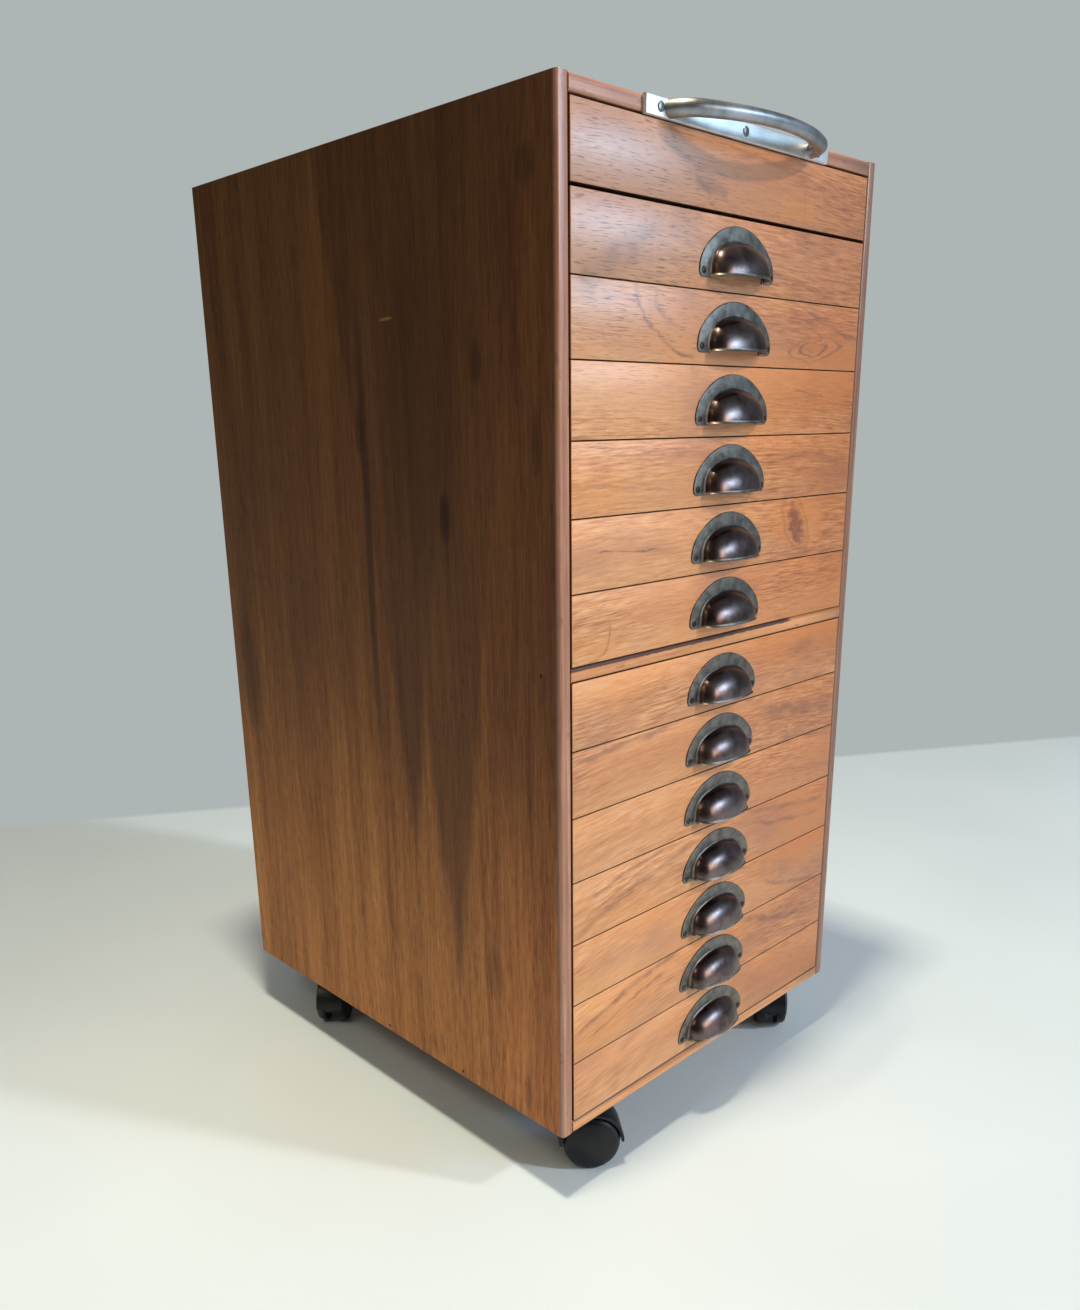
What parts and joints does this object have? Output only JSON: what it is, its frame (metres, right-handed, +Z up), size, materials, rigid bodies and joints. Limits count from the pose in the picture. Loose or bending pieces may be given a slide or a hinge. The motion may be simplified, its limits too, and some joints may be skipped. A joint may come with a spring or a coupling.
{
  "type": "filing cabinet",
  "caption": "Narrow deep wooden cabinet of shallow drawers with metal cup pulls, a bow handle on its top front edge and swivelling twin-wheel casters.",
  "frame": {"origin": "middle of the overall box, on the floor", "axes": "+Z up, -Y out of the drawer fronts, +X towards the right-hand side as one faces the drawers"},
  "size_m": [0.348, 0.4564, 0.744],
  "materials": {
    "veneer_dark": "dark brown veneer, satin, upright grain",
    "veneer_light": "orange-brown veneer, satin, level grain",
    "solid_edging": "solid strip, satin",
    "plain_wood": "plain wood and board, thinly varnished",
    "pull_steel": "satin plated steel",
    "satin_steel": "satin steel",
    "screw_steel": "plain steel screws",
    "zinc_steel": "zinc-plated steel",
    "black_plastic": "glossy black nylon"
  },
  "bodies": {
    "case": {"side_panel_left": "veneer_dark", "side_panel_right": "veneer_dark", "top_panel": "veneer_dark", "bottom_panel": "veneer_dark", "middle_shelf": "veneer_dark", "back_panel": "plain_wood", "front_lippings": "solid_edging", "drawer_runners": "plain_wood", "handle": "satin_steel", "case_screws": "screw_steel", "caster_plates": "zinc_steel"},
    "drawer_01": {"drawer_01_front": "veneer_light", "drawer_01_box": "plain_wood"},
    "drawer_02": {"drawer_02_front": "veneer_light", "drawer_02_box": "plain_wood", "drawer_02_pull": "pull_steel"},
    "drawer_03": {"drawer_03_front": "veneer_light", "drawer_03_box": "plain_wood", "drawer_03_pull": "pull_steel"},
    "drawer_04": {"drawer_04_front": "veneer_light", "drawer_04_box": "plain_wood", "drawer_04_pull": "pull_steel"},
    "drawer_05": {"drawer_05_front": "veneer_light", "drawer_05_box": "plain_wood", "drawer_05_pull": "pull_steel"},
    "drawer_06": {"drawer_06_front": "veneer_light", "drawer_06_box": "plain_wood", "drawer_06_pull": "pull_steel"},
    "drawer_07": {"drawer_07_front": "veneer_light", "drawer_07_box": "plain_wood", "drawer_07_pull": "pull_steel"},
    "drawer_08": {"drawer_08_front": "veneer_light", "drawer_08_box": "plain_wood", "drawer_08_pull": "pull_steel"},
    "drawer_09": {"drawer_09_front": "veneer_light", "drawer_09_box": "plain_wood", "drawer_09_pull": "pull_steel"},
    "drawer_10": {"drawer_10_front": "veneer_light", "drawer_10_box": "plain_wood", "drawer_10_pull": "pull_steel"},
    "drawer_11": {"drawer_11_front": "veneer_light", "drawer_11_box": "plain_wood", "drawer_11_pull": "pull_steel"},
    "drawer_12": {"drawer_12_front": "veneer_light", "drawer_12_box": "plain_wood", "drawer_12_pull": "pull_steel"},
    "drawer_13": {"drawer_13_front": "veneer_light", "drawer_13_box": "plain_wood", "drawer_13_pull": "pull_steel"},
    "drawer_14": {"drawer_14_front": "veneer_light", "drawer_14_box": "plain_wood", "drawer_14_pull": "pull_steel"},
    "front_left_swivel": {"caster_front_left_hood": "black_plastic"},
    "front_left_roll": {"caster_front_left_wheels": "black_plastic"},
    "front_right_swivel": {"caster_front_right_hood": "black_plastic"},
    "front_right_roll": {"caster_front_right_wheels": "black_plastic"},
    "back_left_swivel": {"caster_back_left_hood": "black_plastic"},
    "back_left_roll": {"caster_back_left_wheels": "black_plastic"},
    "back_right_swivel": {"caster_back_right_hood": "black_plastic"},
    "back_right_roll": {"caster_back_right_wheels": "black_plastic"}
  },
  "joints": [
    {"name": "drawer_01_slide", "type": "slide", "parent": "case", "child": "drawer_01", "axis": [0, -1, 0], "range_m": [0, 0.3]},
    {"name": "drawer_02_slide", "type": "slide", "parent": "case", "child": "drawer_02", "axis": [0, -1, 0], "range_m": [0, 0.3]},
    {"name": "drawer_03_slide", "type": "slide", "parent": "case", "child": "drawer_03", "axis": [0, -1, 0], "range_m": [0, 0.3]},
    {"name": "drawer_04_slide", "type": "slide", "parent": "case", "child": "drawer_04", "axis": [0, -1, 0], "range_m": [0, 0.3]},
    {"name": "drawer_05_slide", "type": "slide", "parent": "case", "child": "drawer_05", "axis": [0, -1, 0], "range_m": [0, 0.3]},
    {"name": "drawer_06_slide", "type": "slide", "parent": "case", "child": "drawer_06", "axis": [0, -1, 0], "range_m": [0, 0.3]},
    {"name": "drawer_07_slide", "type": "slide", "parent": "case", "child": "drawer_07", "axis": [0, -1, 0], "range_m": [0, 0.3]},
    {"name": "drawer_08_slide", "type": "slide", "parent": "case", "child": "drawer_08", "axis": [0, -1, 0], "range_m": [0, 0.3]},
    {"name": "drawer_09_slide", "type": "slide", "parent": "case", "child": "drawer_09", "axis": [0, -1, 0], "range_m": [0, 0.3]},
    {"name": "drawer_10_slide", "type": "slide", "parent": "case", "child": "drawer_10", "axis": [0, -1, 0], "range_m": [0, 0.3]},
    {"name": "drawer_11_slide", "type": "slide", "parent": "case", "child": "drawer_11", "axis": [0, -1, 0], "range_m": [0, 0.3]},
    {"name": "drawer_12_slide", "type": "slide", "parent": "case", "child": "drawer_12", "axis": [0, -1, 0], "range_m": [0, 0.3]},
    {"name": "drawer_13_slide", "type": "slide", "parent": "case", "child": "drawer_13", "axis": [0, -1, 0], "range_m": [0, 0.3]},
    {"name": "drawer_14_slide", "type": "slide", "parent": "case", "child": "drawer_14", "axis": [0, -1, 0], "range_m": [0, 0.3]},
    {"name": "front_left_swivel_turn", "type": "hinge", "parent": "case", "child": "front_left_swivel", "pos_m": [-0.135, -0.1638, 0.0387], "axis": [0, 0, 1], "continuous": true},
    {"name": "front_left_wheel_spin", "type": "hinge", "parent": "front_left_swivel", "child": "front_left_roll", "pos_m": [-0.12476, -0.1718, 0.022], "axis": [0.6157, 0.788, 0], "continuous": true},
    {"name": "front_right_swivel_turn", "type": "hinge", "parent": "case", "child": "front_right_swivel", "pos_m": [0.135, -0.1638, 0.0387], "axis": [0, 0, 1], "continuous": true},
    {"name": "front_right_wheel_spin", "type": "hinge", "parent": "front_right_swivel", "child": "front_right_roll", "pos_m": [0.14466, -0.1551, 0.022], "axis": [-0.6691, 0.7431, 0], "continuous": true},
    {"name": "back_left_swivel_turn", "type": "hinge", "parent": "case", "child": "back_left_swivel", "pos_m": [-0.135, 0.1572, 0.0387], "axis": [0, 0, 1], "continuous": true},
    {"name": "back_left_wheel_spin", "type": "hinge", "parent": "back_left_swivel", "child": "back_left_roll", "pos_m": [-0.14466, 0.1485, 0.022], "axis": [0.6691, -0.7431, 0], "continuous": true},
    {"name": "back_right_swivel_turn", "type": "hinge", "parent": "case", "child": "back_right_swivel", "pos_m": [0.135, 0.1572, 0.0387], "axis": [0, 0, 1], "continuous": true},
    {"name": "back_right_wheel_spin", "type": "hinge", "parent": "back_right_swivel", "child": "back_right_roll", "pos_m": [0.12278, 0.16165, 0.022], "axis": [-0.342, -0.9397, 0], "continuous": true}
  ]
}
